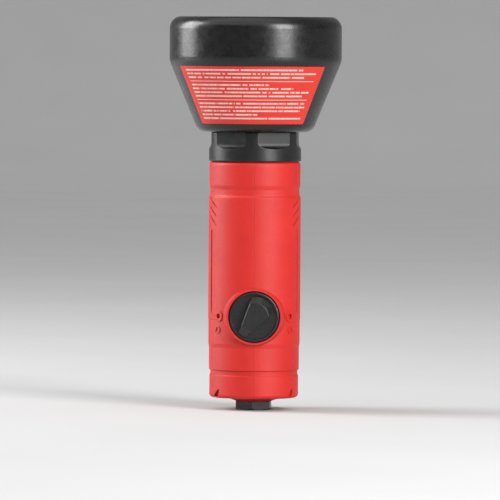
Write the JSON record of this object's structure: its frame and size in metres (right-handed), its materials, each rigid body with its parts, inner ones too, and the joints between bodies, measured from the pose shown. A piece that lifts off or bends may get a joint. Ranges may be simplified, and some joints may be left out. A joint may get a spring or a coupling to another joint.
{
  "type": "pneumatic cut-off tool",
  "caption": "In-line pneumatic cut-off and rescue saw with a round grip, reversing dial, squeeze lever, turning guard and small abrasive wheel.",
  "frame": {"origin": "centre of the air inlet's mouth", "axes": "+Z along the tool towards the cutting wheel, -Y towards the reversing dial, +Y towards the throttle lever"},
  "size_m": [0.086, 0.0893, 0.196],
  "materials": {
    "red_composite": "moulded matte",
    "black_satin": "satin",
    "black_gloss": "semi-gloss powder coat",
    "black_lever": "satin",
    "label_red": "printed film",
    "dial_black": "semi-gloss",
    "gunmetal": "black oxide",
    "zinc_steel": "zinc plated",
    "spring_steel": "oiled",
    "bearing_steel": "polished",
    "aluminium": "machined",
    "machined_steel": "ground",
    "brass": "machined",
    "valve_plastic": "machined acetal",
    "rubber": "matte",
    "felt": "felt",
    "screen_steel": "etched",
    "vane_composite": "phenolic",
    "abrasive": "resin-bonded grit"
  },
  "bodies": {
    "handle": {"grip_sleeve": "red_composite", "end_cap": "red_composite", "muffler": "felt", "inlet_bushing": "gunmetal", "inlet_screen": "screen_steel", "motor_housing": "aluminium", "throttle_bush": "brass", "throttle_o_ring": "rubber", "throttle_spring": "spring_steel", "lever_pin": "zinc_steel", "dial_retaining_pin": "zinc_steel", "detent_ball": "bearing_steel", "detent_spring": "spring_steel", "rear_end_plate": "aluminium", "motor_cylinder": "machined_steel", "cylinder_dowel": "zinc_steel", "front_end_plate": "aluminium", "rear_bearing_outer": "bearing_steel", "front_bearing_outer": "bearing_steel", "clamp_nut": "black_satin", "bearing_snap_ring": "spring_steel", "nose_seal": "rubber", "guard_wave_washer": "spring_steel", "guard_snap_ring": "spring_steel"},
    "lever": {"throttle_lever": "black_lever", "latch_pin": "zinc_steel", "latch_spring": "spring_steel"},
    "latch": {"lock_off_latch": "zinc_steel"},
    "stem": {"throttle_stem": "zinc_steel"},
    "dial": {"reversing_dial": "dial_black", "reversing_spool": "valve_plastic", "spool_o_rings": "rubber"},
    "guard": {"guard": "black_gloss", "guard_label": "label_red"},
    "spindle": {"rotor": "machined_steel", "rotor_vanes": "vane_composite", "rear_bearing_inner": "bearing_steel", "front_bearing_inner": "bearing_steel", "inner_flange": "machined_steel", "cutting_wheel": "abrasive", "outer_flange": "machined_steel", "arbor_screw": "gunmetal"}
  },
  "joints": [
    {"name": "lever_squeeze", "type": "hinge", "parent": "handle", "child": "lever", "pos_m": [0, 0.0265, 0.023], "axis": [1, 0, 0], "range_deg": [0, 8], "stiffness_Nm_per_rad": 2, "springref_deg": -2.86},
    {"name": "latch_swing", "type": "hinge", "parent": "lever", "child": "latch", "pos_m": [0, 0.02907, 0.04486], "axis": [1, 0, 0], "range_deg": [0, 73], "stiffness_Nm_per_rad": 0.01, "springref_deg": -5.73},
    {"name": "throttle_push", "type": "slide", "parent": "handle", "child": "stem", "axis": [0, -1, 0], "range_m": [0, 0.0014], "deforming": ["throttle_spring"]},
    {"name": "dial_turn", "type": "hinge", "parent": "handle", "child": "dial", "pos_m": [0, 0, 0.047], "axis": [0, -1, 0], "range_deg": [0, 70]},
    {"name": "guard_turn", "type": "hinge", "parent": "handle", "child": "guard", "pos_m": [0, 0, 0.1386], "axis": [0, 0, 1], "continuous": true},
    {"name": "spindle_spin", "type": "hinge", "parent": "handle", "child": "spindle", "pos_m": [0, 0, 0.12], "axis": [0, 0, 1], "continuous": true}
  ],
  "couplings": [
    {"joint": "latch_swing", "follows": "lever_squeeze", "ratio": 9},
    {"joint": "throttle_push", "follows": "lever_squeeze", "m_per_rad": 0.01}
  ]
}
